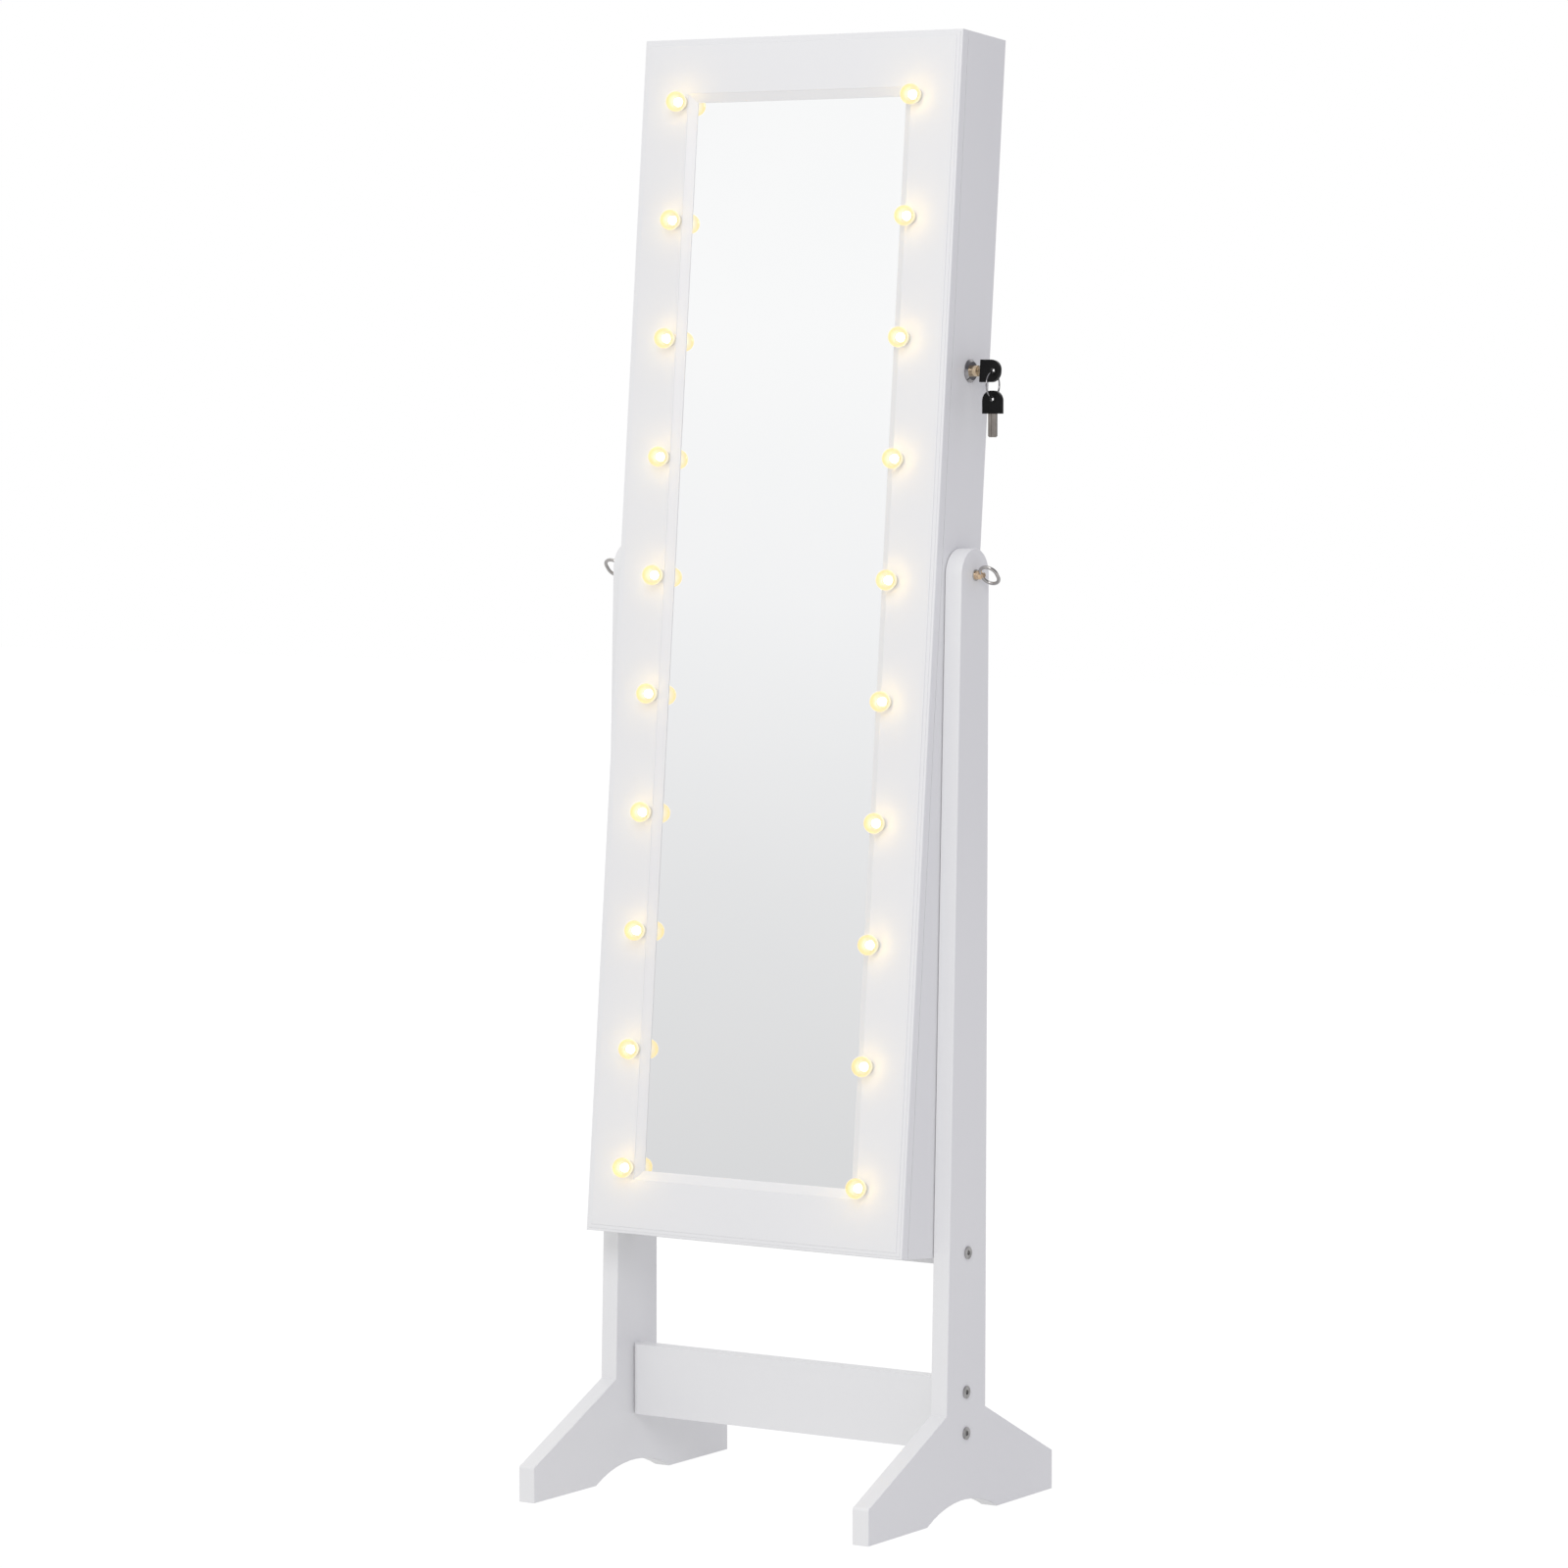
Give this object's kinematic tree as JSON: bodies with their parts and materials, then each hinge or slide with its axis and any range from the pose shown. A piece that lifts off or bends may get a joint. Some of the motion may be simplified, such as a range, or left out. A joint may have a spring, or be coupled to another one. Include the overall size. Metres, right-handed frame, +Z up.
{
  "type": "jewelry cabinet",
  "caption": "Tall white jewelry cabinet with a mirror door edged by globe lamps, a side key lock and lined shelves, tilting on bolts between two footed legs.",
  "frame": {"origin": "on the floor, in the middle of the stand's feet", "axes": "+X to the right seen from the front, +Y to the back, +Z up; the mirror faces -Y and leans back"},
  "size_m": [0.4654, 0.35, 1.4599],
  "materials": {
    "white_lacquer": "white satin lacquer on board",
    "back_board": "white-faced hardboard",
    "velvet": "black velvet",
    "flocked_board": "black flocked board",
    "mirror": "silvered glass",
    "globe_glass": "clear warm globe",
    "lamp_light": "lit warm white",
    "lamp_plastic": "moulded, satin",
    "black_plastic": "moulded, satin",
    "cell_wrap": "plain grey sleeve",
    "nylon": "turned, matt",
    "nickel": "nickel plate",
    "steel": "dark nickel plate",
    "bronze": "dull bronze plate",
    "brass": "machined"
  },
  "bodies": {
    "stand": {"left_leg": "white_lacquer", "right_leg": "white_lacquer", "front_rail": "white_lacquer", "stop_bar": "white_lacquer", "stand_bolts": "steel", "barrel_nuts": "steel", "pivot_washers": "nickel", "pivot_spacers": "nylon"},
    "left_pivot_bolt": {"left_pivot_bolt": "bronze"},
    "right_pivot_bolt": {"right_pivot_bolt": "bronze"},
    "cabinet": {"left_side": "white_lacquer", "right_side": "white_lacquer", "top_panel": "white_lacquer", "bottom_panel": "white_lacquer", "back_panel": "back_board", "back_lining": "velvet", "shelf_1": "flocked_board", "shelf_2": "flocked_board", "shelf_3": "flocked_board", "shelf_4": "flocked_board", "shelf_5": "flocked_board", "shelf_fences": "flocked_board", "hook_rail": "flocked_board", "necklace_hooks": "nickel", "ring_cushion": "velvet", "earring_panel": "flocked_board", "earring_cleats": "flocked_board", "bangle_rod": "flocked_board", "rod_sockets": "black_plastic", "pivot_inserts": "bronze", "hinge_case_leaves": "nickel", "hinge_pins": "nickel", "lock_housing": "nickel", "lock_nut": "steel"},
    "door": {"door_left_stile": "white_lacquer", "door_right_stile": "white_lacquer", "door_top_rail": "white_lacquer", "door_bottom_rail": "white_lacquer", "mirror": "mirror", "door_back": "flocked_board", "lamp_sockets": "lamp_plastic", "lamp_chips": "lamp_light", "lamp_globes": "globe_glass", "lamp_wiring": "black_plastic", "battery_box": "black_plastic", "battery_cover": "black_plastic", "cells": "cell_wrap", "strike_plate": "steel", "hinge_door_leaves": "nickel"},
    "light_switch": {"light_switch": "black_plastic"},
    "lock_key": {"lock_core": "brass", "lock_cam": "steel", "cam_screw": "steel", "key_blade": "nickel", "key_bow": "black_plastic", "key_ring": "nickel"},
    "spare_key": {"spare_key_blade": "nickel", "spare_key_bow": "black_plastic"}
  },
  "joints": [
    {"name": "tilt", "type": "hinge", "parent": "stand", "child": "cabinet", "pos_m": [0, 0.02, 0.928], "axis": [-1, 0, 0], "range_deg": [0, 15]},
    {"name": "door_swing", "type": "hinge", "parent": "cabinet", "child": "door", "pos_m": [-0.1894, -0.01117, 0.93088], "axis": [0, -0.092, -0.9958], "range_deg": [0, 110]},
    {"name": "left_bolt_turn", "type": "hinge", "parent": "stand", "child": "left_pivot_bolt", "pos_m": [0, 0.02, 0.928], "axis": [1, 0, 0], "continuous": true},
    {"name": "right_bolt_turn", "type": "hinge", "parent": "stand", "child": "right_pivot_bolt", "pos_m": [0, 0.02, 0.928], "axis": [1, 0, 0], "continuous": true},
    {"name": "lock_turn", "type": "hinge", "parent": "cabinet", "child": "lock_key", "pos_m": [0.1867, 0.04142, 1.12717], "axis": [1, 0, 0], "range_deg": [0, 90]},
    {"name": "spare_swing", "type": "hinge", "parent": "lock_key", "child": "spare_key", "pos_m": [0.2133, 0.04017, 1.11363], "axis": [1, 0, 0], "range_deg": [-100, 100]},
    {"name": "switch_slide", "type": "slide", "parent": "door", "child": "light_switch", "axis": [0, 0.092, 0.9958], "range_m": [0, 0.003]}
  ]
}
